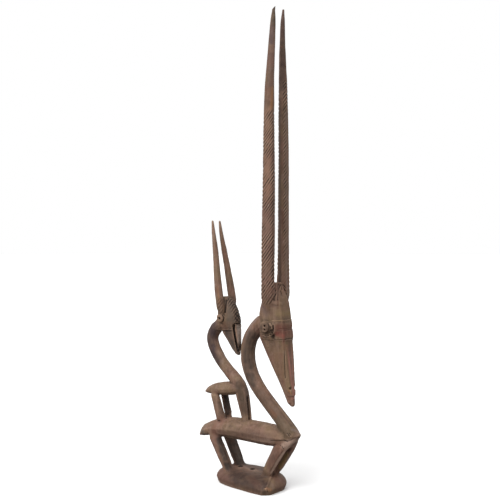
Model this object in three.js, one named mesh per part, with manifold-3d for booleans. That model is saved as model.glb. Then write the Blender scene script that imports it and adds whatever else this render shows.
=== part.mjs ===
// Antelope-pair headdress, carved with its plinth from one block of wood.
// Sizes are in millimetres. +X is the way the antelopes face, +Y is their left and +Z is up.
// The origin is in the middle of the plinth's underside.
import * as THREE from 'three';
import { mergeVertices } from 'three/addons/utils/BufferGeometryUtils.js';
import Module from 'manifold-3d';

const wasm = await Module();
wasm.setup();

// Plinth
const plinthLength = 153;
const plinthWidth = 95;          // at the front
const plinthTailWidth = 80;      // at the tail end, where the plinth is narrower
const plinthHeight = 28;         // at the legs
const plinthRim = 12;            // height of the plinth's edge, from which it slopes up to the legs
const plinthSlope = 38;          // how far the slope runs in from the right edge
const plinthUndercut = 5.5;      // how far the ends lean in towards the underside
const tyingHole = 5.5;           // diameter of the holes for tying the carving to a cap
const tyingHoleAside = 5;        // from the middle line to the holes, which lie to the left of it

// Large antelope
const backHeight = 97;           // from the plinth's top to the back
const bodyDepth = 40.5;
const bodyWidth = 49;
const neckThickness = 28;
const foreLegSlot = 15;          // gap between the two forelegs
const foreLegSlotAside = -3;     // the gap is cut nearer to the right side
const hindLegThickness = 21;
const hindLegSpread = 41;        // middle to middle, at the belly
const muzzleWidth = 33;
const crownWidth = 62;
const hornSpread = 47;           // middle to middle, where the horns leave the head
const hornThickness = 26;        // front to back, where the horns leave the head
const hornLength = 522;          // from the crown between the horns to the tips
const crownHeight = 269;         // from the back to the crown between the horns
const earHeight = 187;           // from the back to the middle of the ear knobs
const earForward = 54.5;
const earRadius = 11.5;
const nostril = 3.4;
const earHole = 5;

// Small antelope, which stands on the large one's back
const calfStand = -42;           // where the middle of its feet is, along the back
const calfBackHeight = 72;
const calfBodyDepth = 28.5;
const calfBodyWidth = 30;
const calfNeckThickness = 23.5;
const calfForeLegSlot = 7;
const calfHindLegThickness = 14.2;
const calfHindLegSpread = 28.5;
const calfMuzzleWidth = 21;
const calfCrownWidth = 42;
const calfHornSpread = 38;
const calfHornThickness = 15.5;
const calfHornLength = 150;
const calfCrownHeight = 171;     // from the small antelope's back to the crown between its horns
const calfMuzzleSlot = 6;        // width of the deep cut beside the nose
const calfEyeHole = 4;

// Carving of the surface
const hatchPitch = 8;            // from one cut line on the horns to the next
const hatchDepth = 0.8;
const hatchLean = 1.45;          // rise of the cut lines for each millimetre along their bearing
const hatchBearing = 0.6;        // the way they rise, in radians from straight ahead to the left
const browRelief = 1.1;          // how far the brow band stands proud
const incision = 2.4;            // width of the fine cut lines
const letIn = 5;                 // how far a limb is let into what carries it

const limbFaces = 12;            // faces round a limb, a body or a knob
const headFaces = 14;            // faces round a head or a pair of forelegs
const hornFaces = 8;
const plinthFaces = 26;
const holeFaces = 8;

const overPlinth = new THREE.Vector3(0, 0, plinthHeight);
const overBack = new THREE.Vector3(0, 0, plinthHeight + backHeight);
const underCalf = new THREE.Vector3(calfStand, 0, plinthHeight + backHeight - 2);
const overCalf = new THREE.Vector3(calfStand, 0, underCalf.z + calfBackHeight);

// Turns a three.js shape into a solid that can be joined and cut.
function solid(geometry) {
  geometry.deleteAttribute('normal');
  geometry.deleteAttribute('uv');
  const shape = mergeVertices(geometry, 1e-4);
  return new wasm.Manifold(new wasm.Mesh({
    numProp: 3,
    vertProperties: new Float32Array(shape.attributes.position.array),
    triVerts: new Uint32Array(shape.index.array),
  }));
}

const join = (solids) => solids.reduce((whole, piece) => whole.add(piece));
const cut = (whole, tools) => tools.reduce((rest, tool) => rest.subtract(tool), whole);
const bothSides = (make) => [make(-1), make(1)];

// A table of sizes along a form: each row is a place, then the sizes there.
// The sizes between two rows follow a smooth curve.
function table(rows) {
  const width = rows[0].length - 1;
  const places = rows.map((row) => row[0]);
  const sizes = rows.flatMap((row) => row.slice(1));
  const curve = new THREE.CubicInterpolant(places, sizes, width, new Float64Array(width));
  return {
    first: places[0],
    last: places[places.length - 1],
    at: (place) => Array.from(curve.evaluate(place)),
  };
}

// The reach of a unit outline at an angle: 2 is an ellipse, and higher numbers are squarer.
function outline(angle, squareness) {
  const front = Math.sin(angle);
  const side = Math.cos(angle);
  return (Math.abs(front) ** squareness + Math.abs(side) ** squareness) ** (-1 / squareness);
}

// Lays the rings of a cylinder along a form that stands at a given place. shape(ring, front, side)
// gives a point, where front and side run from -1 to 1 over a ring and are 0 in its middle.
function loft(stand, count, rings, squareness, shape) {
  const form = new THREE.CylinderGeometry(1, 1, 1, count, rings);
  const points = form.attributes.position;
  for (let i = 0; i < points.count; i += 1) {
    const ring = Math.round((points.getY(i) + 0.5) * rings);
    const reach = outline(Math.atan2(points.getX(i), points.getZ(i)), squareness);
    const spot = shape(ring, points.getX(i) * reach, points.getZ(i) * reach).add(stand);
    points.setXYZ(i, spot.x, spot.y, spot.z);
  }
  return solid(form);
}

// A form whose rings stand upright, one before the other, as in a body:
// rows are place, top, underside and half width. The top is narrowed by a share.
function barrel(stand, rows, rings, narrowing) {
  const sizes = table(rows);
  return loft(stand, limbFaces, rings, 2.5, (ring, down, side) => {
    const place = THREE.MathUtils.lerp(sizes.first, sizes.last, ring / rings);
    const [top, under, half] = sizes.at(place);
    const narrow = 1 + narrowing * Math.min(0, down);
    return new THREE.Vector3(place, -side * half * narrow, THREE.MathUtils.lerp(top, under, (down + 1) / 2));
  });
}

// A form whose rings lie flat, one above the other, as in a head or a pair of forelegs:
// rows are height, back, front, half width at the back and half width at the front.
function stack(stand, rows, squareness) {
  return loft(stand, headFaces, rows.length - 1, squareness, (ring, front, side) => {
    const [height, back, face, backHalf, faceHalf] = rows[ring];
    const share = (front + 1) / 2;
    const half = THREE.MathUtils.lerp(backHalf, faceHalf, share);
    return new THREE.Vector3(THREE.MathUtils.lerp(back, face, share), -side * half, height);
  });
}

// A limb that follows a line in the plane between the antelopes' left and right:
// rows are forward, height, half thickness in that plane and half width across it.
function limb(stand, rows, rings) {
  const way = new THREE.CatmullRomCurve3(rows.map(([x, z]) => new THREE.Vector3(x, 0, z)));
  const girth = new THREE.CatmullRomCurve3(rows.map(([, , a, b]) => new THREE.Vector3(a, b, 0)));
  return loft(stand, limbFaces, rings, 2.1, (ring, front, side) => {
    const middle = way.getPoint(ring / rings);
    const ahead = way.getTangent(ring / rings);
    const size = girth.getPoint(ring / rings);
    return new THREE.Vector3(
      middle.x + ahead.z * front * size.x,
      -side * size.y,
      middle.z - ahead.x * front * size.x,
    );
  });
}

// A hind leg from its foot to the belly, and on into the haunch, where it narrows into the body.
// The girth at the belly is a share of that at the foot.
function hindLeg(foot, hip, thickness, girth, side) {
  const rings = [[0, 1, 1], [1, girth, 0.97], [1.14, girth * 0.8, 0.82], [1.3, girth * 0.5, 0.65]];
  return loft(new THREE.Vector3(), limbFaces, rings.length - 1, 2.4, (ring, front, across) => {
    const [share, swell, inward] = rings[ring];
    const spot = foot.clone().lerp(hip, share);
    const half = (thickness / 2) * swell;
    return new THREE.Vector3(
      spot.x + front * half * 1.08,
      side * spot.y * inward - across * half * 0.86,
      spot.z,
    );
  });
}

// A horn: rows are height, forward, place across, half thickness and half width.
// Cut lines run round it from one height to another, all rising the same way, except on its inner face.
function horn(stand, rows, side, hatch) {
  const sizes = table(rows);
  const levels = [sizes.first, THREE.MathUtils.lerp(sizes.first, hatch.from, 0.55)];
  for (let level = hatch.from; level < hatch.to; level += hatchPitch / 2) levels.push(level);
  const tipward = Math.max(...levels);
  for (let i = 1; i <= hatch.plain; i += 1) {
    levels.push(THREE.MathUtils.lerp(tipward, sizes.last, i / hatch.plain));
  }
  const turn = side * hatch.turn;
  return loft(stand, hornFaces, levels.length - 1, 2.2, (ring, front, across) => {
    const level = levels[ring];
    const [, , thick, wide] = sizes.at(level);
    const ahead = front * thick * Math.cos(turn) - across * wide * Math.sin(turn);
    const leftward = -front * thick * Math.sin(turn) - across * wide * Math.cos(turn);
    const rise = ahead * Math.cos(hatchBearing) + leftward * Math.sin(hatchBearing);
    const lean = hatch.lean * THREE.MathUtils.smoothstep(sizes.last - level, 0, (sizes.last - sizes.first) / 3);
    const height = THREE.MathUtils.clamp(level + rise * lean, sizes.first, sizes.last);
    const outward = THREE.MathUtils.smoothstep(-side * across + front * 0.5, -0.9, -0.2);
    const grooved = ring % 2 === 0 && level > hatch.from && level < hatch.to;
    const deep = grooved ? hatch.depth * outward : 0;
    const [x, y, halfThick, halfWide] = sizes.at(height);
    const along = front * (halfThick - deep);
    const over = across * (halfWide - deep);
    return new THREE.Vector3(
      x + along * Math.cos(turn) - over * Math.sin(turn),
      side * y - along * Math.sin(turn) - over * Math.cos(turn),
      height,
    );
  });
}

// A round pin between two points, for a hole or, with four faces, a cut line.
function pin(from, to, diameter, faces = holeFaces) {
  const way = to.clone().sub(from);
  const shape = new THREE.CylinderGeometry(diameter / 2, diameter / 2, way.length(), faces);
  shape.applyQuaternion(new THREE.Quaternion().setFromUnitVectors(new THREE.Vector3(0, 1, 0), way.normalize()));
  shape.translate((from.x + to.x) / 2, (from.y + to.y) / 2, (from.z + to.z) / 2);
  return solid(shape);
}

// A rounded knob on the side of a head: half length, half height and how far it stands out.
function knob(middle, half, tall, out, squareness, side) {
  const rings = [[-out, 0.9], [out * 0.55, 1], [out, 0.72]];
  return loft(middle, limbFaces, rings.length - 1, squareness, (ring, front, up) => {
    const [over, size] = rings[ring];
    return new THREE.Vector3(side * front * half * size, side * over, up * tall * size);
  });
}

// A raised crescent on the side of a head, with its round edge forward.
function crescent(middle, reach, thickness, out, side) {
  const shape = new THREE.Shape();
  const spread = 1.25;
  shape.absarc(0, 0, reach, -spread, spread, false);
  shape.absarc(-thickness, 0, reach - thickness * 0.15, spread, -spread, true);
  shape.closePath();
  const form = new THREE.ExtrudeGeometry(shape, { depth: out, bevelEnabled: false, curveSegments: 5 });
  form.rotateX(Math.PI / 2);
  form.translate(middle.x, middle.y + (side > 0 ? out : 0), middle.z);
  return solid(form);
}

// An arched slot between a pair of forelegs, cut through from back to front.
function archedSlot(stand, width, aside, back, front, top) {
  const shape = new THREE.Shape();
  shape.moveTo(-width / 2, -letIn);
  shape.lineTo(width / 2, -letIn);
  shape.lineTo(width / 2, top - width / 2);
  shape.absarc(0, top - width / 2, width / 2, 0, Math.PI, false);
  shape.closePath();
  const slot = new THREE.ExtrudeGeometry(shape, { depth: front - back, bevelEnabled: false, curveSegments: 6 });
  slot.rotateX(Math.PI / 2);
  slot.rotateZ(Math.PI / 2);
  slot.translate(stand.x + back, aside, stand.z);
  return solid(slot);
}

// The plinth: a long block whose ends lean in and whose top slopes up to the legs, gently from the
// right and steeply from the left. It is cut by eye, so its front right corner is sharp and its
// front left one well rounded. Two holes between the legs take the cords that tie it to a cap.
function plinth() {
  const rise = plinthHeight - plinthRim;
  const rings = [
    [0, 1, 0],
    [plinthRim, 0, 0],
    [plinthRim + rise * 0.3, 0, 0.08],
    [plinthRim + rise * 0.6, 0, 0.26],
    [plinthRim + rise * 0.82, 0, 0.5],
    [plinthRim + rise * 0.95, 0, 0.76],
    [plinthHeight, 0, 1],
  ];
  const atEnds = 0.6;
  const onLeft = 0.3;
  const rightCorner = { front: 7, tail: 3 };
  const leftCorner = { front: 2.3, tail: 3 };
  const block = loft(new THREE.Vector3(), plinthFaces, rings.length - 1, 2, (ring, front, side) => {
    const [height, under, risen] = rings[ring];
    const corner = side > 0 ? rightCorner : leftCorner;
    const reach = outline(Math.atan2(front, side), front > 0 ? corner.front : corner.tail);
    const width = THREE.MathUtils.lerp(plinthTailWidth, plinthWidth, (front * reach + 1) / 2);
    const undercut = under * plinthUndercut;
    const slope = risen * plinthSlope;
    const slopeShare = THREE.MathUtils.lerp(onLeft, 1, (side * reach + 1) / 2);
    return new THREE.Vector3(
      front * reach * (plinthLength / 2 - undercut - slope * atEnds),
      -side * reach * (width / 2 - undercut * 0.35 - slope * slopeShare),
      height,
    );
  });
  const holes = [-32.5, -1.5].map((x) => pin(
    new THREE.Vector3(x, tyingHoleAside, -letIn),
    new THREE.Vector3(x, tyingHoleAside, plinthHeight + letIn),
    tyingHole,
  ));
  return cut(block, holes);
}

// The large antelope's body, from the drooping tail to the chest.
function body() {
  return barrel(overBack, [
    [-136, -46, -48.5, 4],
    [-130.5, -34.5, -48.5, bodyWidth * 0.23],
    [-118, -22.5, -46.5, bodyWidth * 0.4],
    [-94, -11.5, -bodyDepth - 1, bodyWidth * 0.56],
    [-54, -1.5, -bodyDepth, bodyWidth * 0.56],
    [0, 0, -bodyDepth, bodyWidth * 0.5],
    [60, -1.2, -bodyDepth + 1, bodyWidth * 0.5],
    [86, -5.5, -bodyDepth + 6, bodyWidth * 0.45],
    [101, -12, -bodyDepth + 20, bodyWidth * 0.29],
    [107, -18, -20, 2],
  ], 13, 0.3);
}

// The large antelope's neck, which springs from the chest and bends over to the head.
function neck() {
  const n = neckThickness;
  return limb(overBack, [
    [109, -20, n * 0.34, n * 0.4],
    [98, -12, n * 0.48, n * 0.58],
    [77, 9.3, n * 0.49, n * 0.47],
    [52.7, 31.6, n * 0.48, n * 0.43],
    [23, 60, n * 0.49, n * 0.43],
    [2.7, 86, n * 0.51, n * 0.44],
    [-7.8, 114.5, n * 0.52, n * 0.45],
    [-8.4, 139, n * 0.52, n * 0.45],
    [-3, 158.5, n * 0.52, n * 0.46],
    [9, 175.5, n * 0.52, n * 0.47],
    [28, 192.2, n * 0.55, n * 0.5],
    [54, 201, n * 0.55, n * 0.52],
  ], 20);
}

// The large antelope's four legs. The forelegs are one leaning block with an arched slot.
function legs() {
  const hind = bothSides((side) => hindLeg(
    new THREE.Vector3(-42.7, hindLegSpread * 0.43, plinthHeight - letIn),
    new THREE.Vector3(-77.5, hindLegSpread / 2, plinthHeight + backHeight - bodyDepth),
    hindLegThickness,
    1.14,
    side,
  ));
  const fore = stack(overPlinth, [
    [-letIn, 32.3, 53, 20, 17],
    [backHeight * 0.05, 36.5, 62.5, 20.5, 18.5],
    [backHeight * 0.205, 44.5, 73.5, 21.3, 18.5],
    [backHeight * 0.39, 54, 86.5, 21.8, 18.5],
    [backHeight * 0.555, 62, 97, 21.3, 18.5],
    [backHeight * 0.69, 68.5, 104.5, 19.5, 17.5],
    [backHeight * 0.795, 76, 111.5, 18, 13.5],
    [backHeight * 0.877, 83, 117.8, 16, 6],
    [backHeight * 0.938, 84, 112, 15, 6],
    [backHeight * 1.02, 80, 104, 13, 7],
  ], 3.6);
  const slot = archedSlot(overPlinth, foreLegSlot, foreLegSlotAside, 10, 140, backHeight * 0.63);
  return [...hind, cut(fore, [slot])];
}

// The large antelope's head, from the muzzle's tip up to the crown between the horns.
function head() {
  const m = muzzleWidth;
  const c = crownWidth;
  const b = browRelief;
  const block = stack(overBack, [
    [39.5, 98, 102.5, 2.4, 2.2],
    [43.5, 93.5, 104, 4.4, 4],
    [49, 89.5, 103, m * 0.18, m * 0.17],
    [58.6, 85.5, 101.5, m * 0.22, m * 0.2],
    [60, 85, 103.2, m * 0.22, m * 0.24],
    [72, 79.3, 102, m * 0.26, m * 0.32],
    [89, 70.2, 99, m * 0.3, m * 0.39],
    [123, 50, 96, m * 0.34, m * 0.48],
    [162, 28, 91.8, m * 0.36, m * 0.58],
    [163.4, 28, 91.4 + b, m * 0.4, m * 0.58 + b],
    [171, 30, 91 + b, m * 0.52, m * 0.58 + b],
    [183, 35, 89 + b, c * 0.42, m * 0.58 + b],
    [184.4, 35.5, 89, c * 0.43, m * 0.57],
    [185.8, 36, 88.6 + b, c * 0.44, m * 0.57 + b],
    [197, 38, 87.5 + b, c * 0.47, m * 0.58 + b],
    [199, 38, 87.4, c * 0.47, m * 0.58],
    [211, 36.5, 86.2, c * 0.49, m * 0.58],
    [222, 39, 84, c * 0.49, m * 0.58],
    [240, 43.5, 79, c * 0.43, m * 0.56],
    [257, 48, 71.5, c * 0.28, m * 0.46],
    [270, 50, 67.5, c * 0.2, m * 0.36],
  ], 5);
  const ears = bothSides((side) => knob(
    new THREE.Vector3(earForward, side * c * 0.41, overBack.z + earHeight),
    earRadius * 0.85, earRadius, 5.5, 3, side,
  ));
  const eyelids = bothSides((side) => crescent(
    new THREE.Vector3(earForward + earRadius * 0.78, side * c * 0.34, overBack.z + earHeight - earRadius / 2),
    earRadius, 4.2, 7, side,
  ));
  const holes = bothSides((side) => {
    const bore = (forward, up, diameter) => pin(
      new THREE.Vector3(earForward + forward, side * c * 0.34, overBack.z + earHeight + up),
      new THREE.Vector3(earForward + forward, side * c, overBack.z + earHeight + up),
      diameter,
    );
    return [
      bore(earRadius * 0.23, earRadius * 0.22, earHole),
      bore(earRadius * 0.23, -earRadius * 0.43, earHole * 0.62),
      bore(earRadius * 1.2, -earRadius * 0.8, earHole * 1.4),
    ];
  }).flat();
  const nostrils = bothSides((side) => pin(
    new THREE.Vector3(95, side * 2, overBack.z + 73.5),
    new THREE.Vector3(106, side * m * 0.45, overBack.z + 73.5),
    nostril,
  ));
  const plateLines = bothSides((side) => pin(
    new THREE.Vector3(92, side * m * 0.57, overBack.z + 163),
    new THREE.Vector3(98, side * m * 0.43, overBack.z + 98),
    incision,
    4,
  ));
  const parting = pin(
    new THREE.Vector3(65, 0, overBack.z + crownHeight + 7),
    new THREE.Vector3(76, 0, overBack.z + crownHeight - 26),
    incision * 3,
    4,
  );
  return cut(join([block, ...ears, ...eyelids]), [...holes, ...nostrils, ...plateLines, parting]);
}

// One of the large antelope's horns, hatched for most of its length and smooth at the tip.
function longHorn(side) {
  const t = hornThickness / 2;
  const y = hornSpread / 2;
  const at = (share) => crownHeight + hornLength * share;
  return horn(overBack, [
    [at(-0.14), 55, y * 0.5, t * 0.4, t * 0.4],
    [at(-0.105), 57, y * 0.68, t * 0.8, t * 0.74],
    [at(-0.055), 59.3, y * 0.95, t * 1.03, t * 0.92],
    [at(0), 59.8, y, t * 1.03, t * 0.9],
    [at(0.08), 60.1, y, t * 1.02, t * 0.81],
    [at(0.16), 60.5, y * 0.99, t, t * 0.73],
    [at(0.3), 61.2, y * 0.97, t * 0.96, t * 0.72],
    [at(0.45), 61.6, y * 0.96, t * 0.89, t * 0.72],
    [at(0.59), 61.3, y * 0.935, t * 0.81, t * 0.69],
    [at(0.72), 61.7, y * 0.875, t * 0.68, t * 0.62],
    [at(0.82), 62.8, y * 0.75, t * 0.56, t * 0.48],
    [at(0.9), 64.2, y * 0.67, t * 0.46, t * 0.37],
    [at(0.955), 65.5, y * 0.63, t * 0.35, t * 0.28],
    [at(1), 67, y * 0.62, t * 0.16, t * 0.14],
  ], side, {
    from: at(-0.07), to: at(0.66), depth: hatchDepth, lean: hatchLean, turn: 0.35, plain: 8,
  });
}

// The small antelope's trunk, with its legs standing on the large one's back.
function calfTrunk() {
  const n = calfNeckThickness;
  const w = calfBodyWidth;
  const d = calfBodyDepth;
  const trunk = barrel(overCalf, [
    [-79, -26, -28, 3],
    [-74, -20.5, -28.5, w * 0.26],
    [-65, -14, -29, w * 0.42],
    [-50, -7.5, -29, w * 0.6],
    [-30, -3, -d, w * 0.59],
    [-8, 0.5, -d + 2, w * 0.52],
    [12, 1.5, -d + 7.5, w * 0.44],
    [24, -8, -d + 10, w * 0.3],
    [29, -14, -16, 2],
  ], 10, 0.28);
  const neckLimb = limb(overCalf, [
    [22, -38, n * 0.2, n * 0.2],
    [22.5, -20, n * 0.37, n * 0.42],
    [12.5, -4.3, n * 0.51, n * 0.48],
    [-2, 8.7, n * 0.51, n * 0.46],
    [-19.3, 23, n * 0.475, n * 0.45],
    [-35.3, 37.5, n * 0.475, n * 0.45],
    [-49.3, 55.2, n * 0.5, n * 0.46],
    [-57.5, 69.5, n * 0.51, n * 0.46],
    [-61, 82, n * 0.52, n * 0.46],
    [-57.5, 94, n * 0.52, n * 0.47],
    [-46, 108, n * 0.52, n * 0.49],
    [-26, 116, n * 0.53, n * 0.5],
  ], 17);
  const hind = bothSides((side) => hindLeg(
    new THREE.Vector3(calfStand - (side < 0 ? 25 : 27.5), calfHindLegSpread * 0.45, underCalf.z - letIn),
    new THREE.Vector3(calfStand - 41.5, calfHindLegSpread / 2, underCalf.z + calfBackHeight - d),
    calfHindLegThickness * (side < 0 ? 1.26 : 1),
    side < 0 ? 0.9 : 0.97,
    side,
  ));
  const h = calfBackHeight;
  const fore = stack(underCalf, [
    [-letIn, 22.5, 38.5, 10.8, 8.5],
    [h * 0.1, 22, 38, 11.2, 9],
    [h * 0.32, 16.2, 36, 11.6, 9.5],
    [h * 0.66, 7.5, 32.7, 11.5, 10],
    [h * 0.8, 5, 30, 11.2, 10],
    [h * 0.93, 4, 23, 10, 9],
    [h, 1, 16, 8, 7],
  ], 3);
  const slot = archedSlot(underCalf, calfForeLegSlot, 0, -10, 60, h * 0.66);
  return [trunk, neckLimb, ...hind, cut(fore, [slot])];
}

// The small antelope's head, with a round eye lobe and a deep cut on each side of the nose.
function calfHead() {
  const m = calfMuzzleWidth;
  const c = calfCrownWidth;
  const b = browRelief;
  const block = stack(overCalf, [
    [54.5, 7, 11, 2.2, 2.2],
    [57, 2.8, 12.5, 3.6, 3.6],
    [66, -6, 12.5, m * 0.24, m * 0.3],
    [83, -18.5, 12.3, m * 0.3, m * 0.4],
    [98, -30, 11.5, m * 0.34, m * 0.46],
    [99, -30, 11.5, m * 0.38, m * 0.46],
    [100, -30.5, 11.5 - b * 0.5, m * 0.4, m * 0.44],
    [101, -31, 11.5, m * 0.42, m * 0.47],
    [108, -34, 10, c * 0.31, m * 0.48],
    [110, -35, 10.5, c * 0.34, m * 0.52],
    [119, -36.2, 10.5, c * 0.41, m * 0.56],
    [128, -36.2, 8.8, c * 0.45, m * 0.57],
    [142, -35.2, 3.2, c * 0.45, m * 0.56],
    [155, -33, -4, c * 0.42, m * 0.5],
    [164, -31, -11, c * 0.32, m * 0.4],
    [169, -29, -17, c * 0.18, m * 0.3],
  ], 3.8);
  const eyes = bothSides((side) => knob(
    new THREE.Vector3(calfStand - 22.5, side * c * 0.39, overCalf.z + 126.5),
    9, 10, 4.6, 2.2, side,
  ));
  const holes = bothSides((side) => pin(
    new THREE.Vector3(calfStand - 22.5, side * c * 0.3, overCalf.z + 126),
    new THREE.Vector3(calfStand - 22.5, side * c, overCalf.z + 126),
    calfEyeHole,
  ));
  const noseCuts = bothSides((side) => pin(
    new THREE.Vector3(calfStand + 2.5, side * m * 0.47, overCalf.z + 113),
    new THREE.Vector3(calfStand + 11.5, side * m * 0.17, overCalf.z + 56),
    calfMuzzleSlot,
    4,
  ));
  return cut(join([block, ...eyes]), [...holes, ...noseCuts]);
}

// One of the small antelope's horns, which lean back.
function calfHorn(side) {
  const t = calfHornThickness / 2;
  const y = calfHornSpread / 2;
  const at = (share) => calfCrownHeight + calfHornLength * share;
  return horn(overCalf, [
    [at(-0.32), -21, y * 0.5, t * 0.5, t * 0.45],
    [at(-0.22), -22, y * 0.8, t * 0.95, t * 0.9],
    [at(-0.15), -22.5, y * 0.93, t * 1.06, t * 1.02],
    [at(0), -25.7, y, t * 1.02, t],
    [at(0.13), -29.2, y * 0.96, t * 0.98, t * 0.96],
    [at(0.4), -35.9, y * 0.82, t * 0.79, t * 0.79],
    [at(0.65), -42.6, y * 0.66, t * 0.63, t * 0.62],
    [at(0.84), -48.1, y * 0.59, t * 0.44, t * 0.44],
    [at(1), -51.5, y * 0.56, t * 0.2, t * 0.18],
  ], side, { from: 140, to: 141, depth: 0, lean: 0, turn: 0, plain: 8 });
}

// Gives a finished solid its three.js mesh.
function mesh(name, shape, colour) {
  const { numProp, vertProperties, triVerts } = shape.getMesh();
  const points = new THREE.InterleavedBuffer(new Float32Array(vertProperties), numProp);
  const geometry = new THREE.BufferGeometry();
  const position = new THREE.Float32BufferAttribute(points.count * 3, 3);
  const source = new THREE.InterleavedBufferAttribute(points, 3, 0);
  for (let i = 0; i < points.count; i += 1) {
    position.setXYZ(i, source.getX(i), source.getY(i), source.getZ(i));
  }
  geometry.setAttribute('position', position);
  geometry.setIndex(Array.from(triVerts));
  geometry.computeVertexNormals();
  const made = new THREE.Mesh(geometry, new THREE.MeshStandardMaterial({ color: colour, roughness: 0.62 }));
  made.name = name;
  return made;
}

const carving = join([
  plinth(), body(), neck(), ...legs(), head(), ...bothSides(longHorn),
  ...calfTrunk(), calfHead(), ...bothSides(calfHorn),
]);

const headdress = new THREE.Group();
headdress.add(mesh('headdress', carving, 0x6b5043));

export default headdress;
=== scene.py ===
"""Chiwara headdress: a pair of antelopes carved with their plinth from one block of wood.

Sizes are in metres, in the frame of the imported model: +X is the way the antelopes face, +Y is
their left, +Z is up and the origin is in the middle of the plinth's underside.
"""

import math

import bmesh
import bpy
import numpy as np
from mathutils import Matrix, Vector
from mathutils.bvhtree import BVHTree


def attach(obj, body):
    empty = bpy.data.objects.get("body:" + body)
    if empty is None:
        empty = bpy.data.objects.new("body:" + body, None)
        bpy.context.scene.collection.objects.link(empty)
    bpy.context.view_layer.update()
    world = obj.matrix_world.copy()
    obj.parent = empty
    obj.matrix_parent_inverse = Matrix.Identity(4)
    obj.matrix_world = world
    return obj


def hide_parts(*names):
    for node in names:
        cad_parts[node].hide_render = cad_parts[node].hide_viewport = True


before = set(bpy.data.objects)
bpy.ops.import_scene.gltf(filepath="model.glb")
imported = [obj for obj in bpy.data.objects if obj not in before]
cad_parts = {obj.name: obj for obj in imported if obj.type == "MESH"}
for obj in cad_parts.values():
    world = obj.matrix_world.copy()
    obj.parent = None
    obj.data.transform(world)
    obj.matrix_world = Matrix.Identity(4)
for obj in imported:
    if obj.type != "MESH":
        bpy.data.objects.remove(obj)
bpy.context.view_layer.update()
MM = 0.001


# The camera stands level with the lower part of the horns, 40 degrees round from the
# carving's right side towards its front, where the reference photograph was taken from.
camera_bearing = math.radians(40)
camera_distance = 1.520
camera_height = 0.457
camera_sideways = -2.9 * MM
photo_size = 500
photo_focal = 779
sensor_width = 36.0

forward = Vector((-math.sin(camera_bearing), math.cos(camera_bearing), 0))
rightward = Vector((math.cos(camera_bearing), math.sin(camera_bearing), 0))
upward = Vector((0, 0, 1))
camera_data = bpy.data.cameras.new("camera")
camera_data.sensor_width = sensor_width
camera_data.lens = photo_focal / photo_size * sensor_width
camera = bpy.data.objects.new("camera", camera_data)
camera.location = rightward * camera_sideways - forward * camera_distance + upward * camera_height
camera.rotation_euler = (math.pi / 2, 0, camera_bearing)
bpy.context.scene.collection.objects.link(camera)
bpy.context.scene.camera = camera


def ray_through(pixel):
    """The direction from the camera through a pixel of the 500 by 500 photograph."""
    across = (pixel[0] - photo_size / 2) / photo_focal
    down = (pixel[1] - photo_size / 2) / photo_focal
    return (forward + rightward * across - upward * down).normalized()


# The carving: the two antelopes, their horns and the plinth are one block of dense savanna
# wood, cut with an adze and a knife. The large horns are modelled apart, because their
# hatching follows rings round them, and are then joined to the head.
grid = 0.85 * MM               # mesh size that the block is carved at
face_limit = 146000            # triangles kept in the block after carving
hatch_lean = 1.45              # rise of the horns' cut lines along their bearing
hatch_bearing = 0.6            # the way they rise, in radians from straight ahead to the left
horn_cut = 0.430               # height at which the horns are parted for modelling
horn_zone_foot = 0.398         # nothing below this height belongs to the parted horns
horn_zone_back = 0.025         # nor anything behind this, such as the small antelope's horns
horn_turn = 0.35               # turn of each horn's squarish section, in radians
same_spot = 1e-6               # vertices nearer to each other than this are one
back_height = 125 * MM         # from the floor to the large antelope's back

rise_way = Vector((math.cos(hatch_bearing), math.sin(hatch_bearing), 0))


def table(rows):
    """Sizes along a form, each row a place and then the sizes there, joined by smooth curves."""
    rows = np.array(rows, float)
    places, sizes = rows[:, 0], rows[:, 1:]
    steps = np.diff(places)
    slopes = np.diff(sizes, axis=0) / steps[:, None]
    tangents = np.vstack([slopes[:1], (slopes[1:] + slopes[:-1]) / 2, slopes[-1:]])

    def sizes_at(place):
        place = np.asarray(place, float)
        i = np.clip(np.searchsorted(places, place) - 1, 0, len(places) - 2)
        t = ((place - places[i]) / steps[i])[..., None]
        span = steps[i][..., None]
        return (
            sizes[i] * (2 * t**3 - 3 * t**2 + 1)
            + tangents[i] * span * (t**3 - 2 * t**2 + t)
            + sizes[i + 1] * (3 * t**2 - 2 * t**3)
            + tangents[i + 1] * span * (t**3 - t**2)
        )

    return sizes_at


# Rows of a large horn, in millimetres over the back: height, forward, place across, half
# thickness and half width.
horn_foot = 196
horn_tip = 791
horn_rows = table([
    [horn_foot, 55, 11.6, 5.2, 5.2],
    [214, 57, 16, 10.4, 9.5],
    [240, 59.3, 22.3, 13, 11.6],
    [269, 59.8, 23.5, 13, 11.3],
    [311, 60.1, 23.5, 12.8, 10.2],
    [353, 60.5, 23.3, 12.6, 9.2],
    [426, 61.2, 22.8, 12.1, 9.1],
    [504, 61.6, 22.6, 11.2, 9.1],
    [577, 61.3, 22, 10.2, 8.7],
    [645, 61.7, 20.6, 8.6, 7.8],
    [697, 62.8, 17.6, 7, 6],
    [739, 64.2, 15.7, 5.8, 4.6],
    [768, 65.5, 14.8, 4.4, 3.5],
    [horn_tip, 67, 14.6, 2, 1.7],
])


def horn_sizes(height):
    """Forward, place across, half thickness and half width of a large horn, in metres."""
    return np.moveaxis(horn_rows((np.asarray(height) - back_height) / MM) * MM, -1, 0)


def linked(name, mesh):
    """A new object for a mesh, in the scene."""
    made = bpy.data.objects.new(name, mesh)
    bpy.context.scene.collection.objects.link(made)
    return made


def finished(name, source, kind, **settings):
    """The mesh of a source mesh after one modifier."""
    holder = linked(name, source)
    modifier = holder.modifiers.new(name, kind)
    for setting, value in settings.items():
        setattr(modifier, setting, value)
    shown = holder.evaluated_get(bpy.context.evaluated_depsgraph_get())
    made = bpy.data.meshes.new_from_object(shown)
    bpy.data.objects.remove(holder)
    return made


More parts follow.
